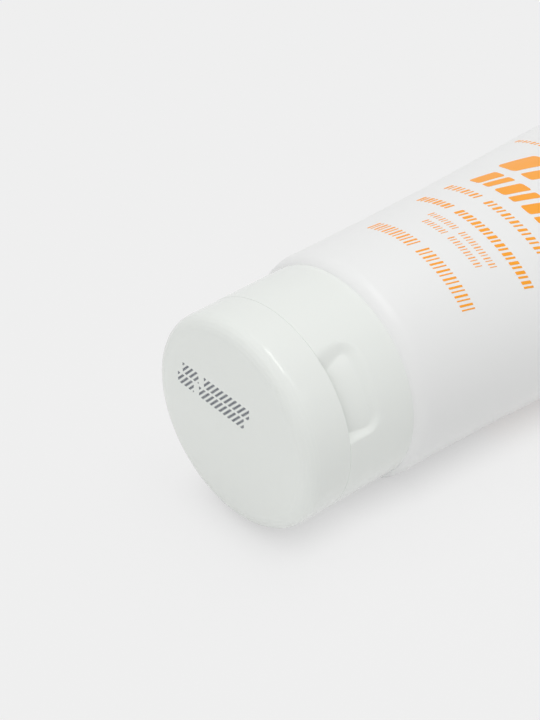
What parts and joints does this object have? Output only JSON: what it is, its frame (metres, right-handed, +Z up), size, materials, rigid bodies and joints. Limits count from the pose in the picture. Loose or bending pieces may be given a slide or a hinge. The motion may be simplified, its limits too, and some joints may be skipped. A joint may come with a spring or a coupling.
{
  "type": "sunscreen tube",
  "caption": "Soft squeeze tube of sunscreen with a wide flip-top cap, lying on its side; the lid swings on a film hinge and the cap turns on the neck.",
  "frame": {"origin": "on the table, below the middle of the tube's overall box", "axes": "+X along the tube's axis from the cap to the sealed end, +Z up, the printed side leans 16.6 degrees towards -Y"},
  "size_m": [0.165, 0.0752, 0.05],
  "materials": {
    "sleeve": "glossy white polyethylene",
    "head": "white polyethylene, moulded",
    "cream": "off-white cream",
    "cap": "glossy milky white polypropylene",
    "hinge": "thin milky polypropylene"
  },
  "bodies": {
    "tube": {"tube_sleeve": "sleeve", "tube_head": "head", "sunscreen_cream": "cream"},
    "cap": {"cap_base": "cap", "hinge_strap_left": "hinge", "hinge_strap_right": "hinge", "hinge_spring": "hinge"},
    "lid": {"lid": "cap"}
  },
  "joints": [
    {"name": "cap_turn", "type": "hinge", "parent": "tube", "child": "cap", "pos_m": [-0.0825, 0, 0.025], "axis": [1, 0, 0], "continuous": true},
    {"name": "lid_hinge", "type": "hinge", "parent": "cap", "child": "lid", "pos_m": [-0.0719, 0.01974, 0.01188], "axis": [0, -0.5534, -0.8329], "range_deg": [0, 105], "deforming": ["hinge_strap_left", "hinge_strap_right", "hinge_spring"]}
  ]
}
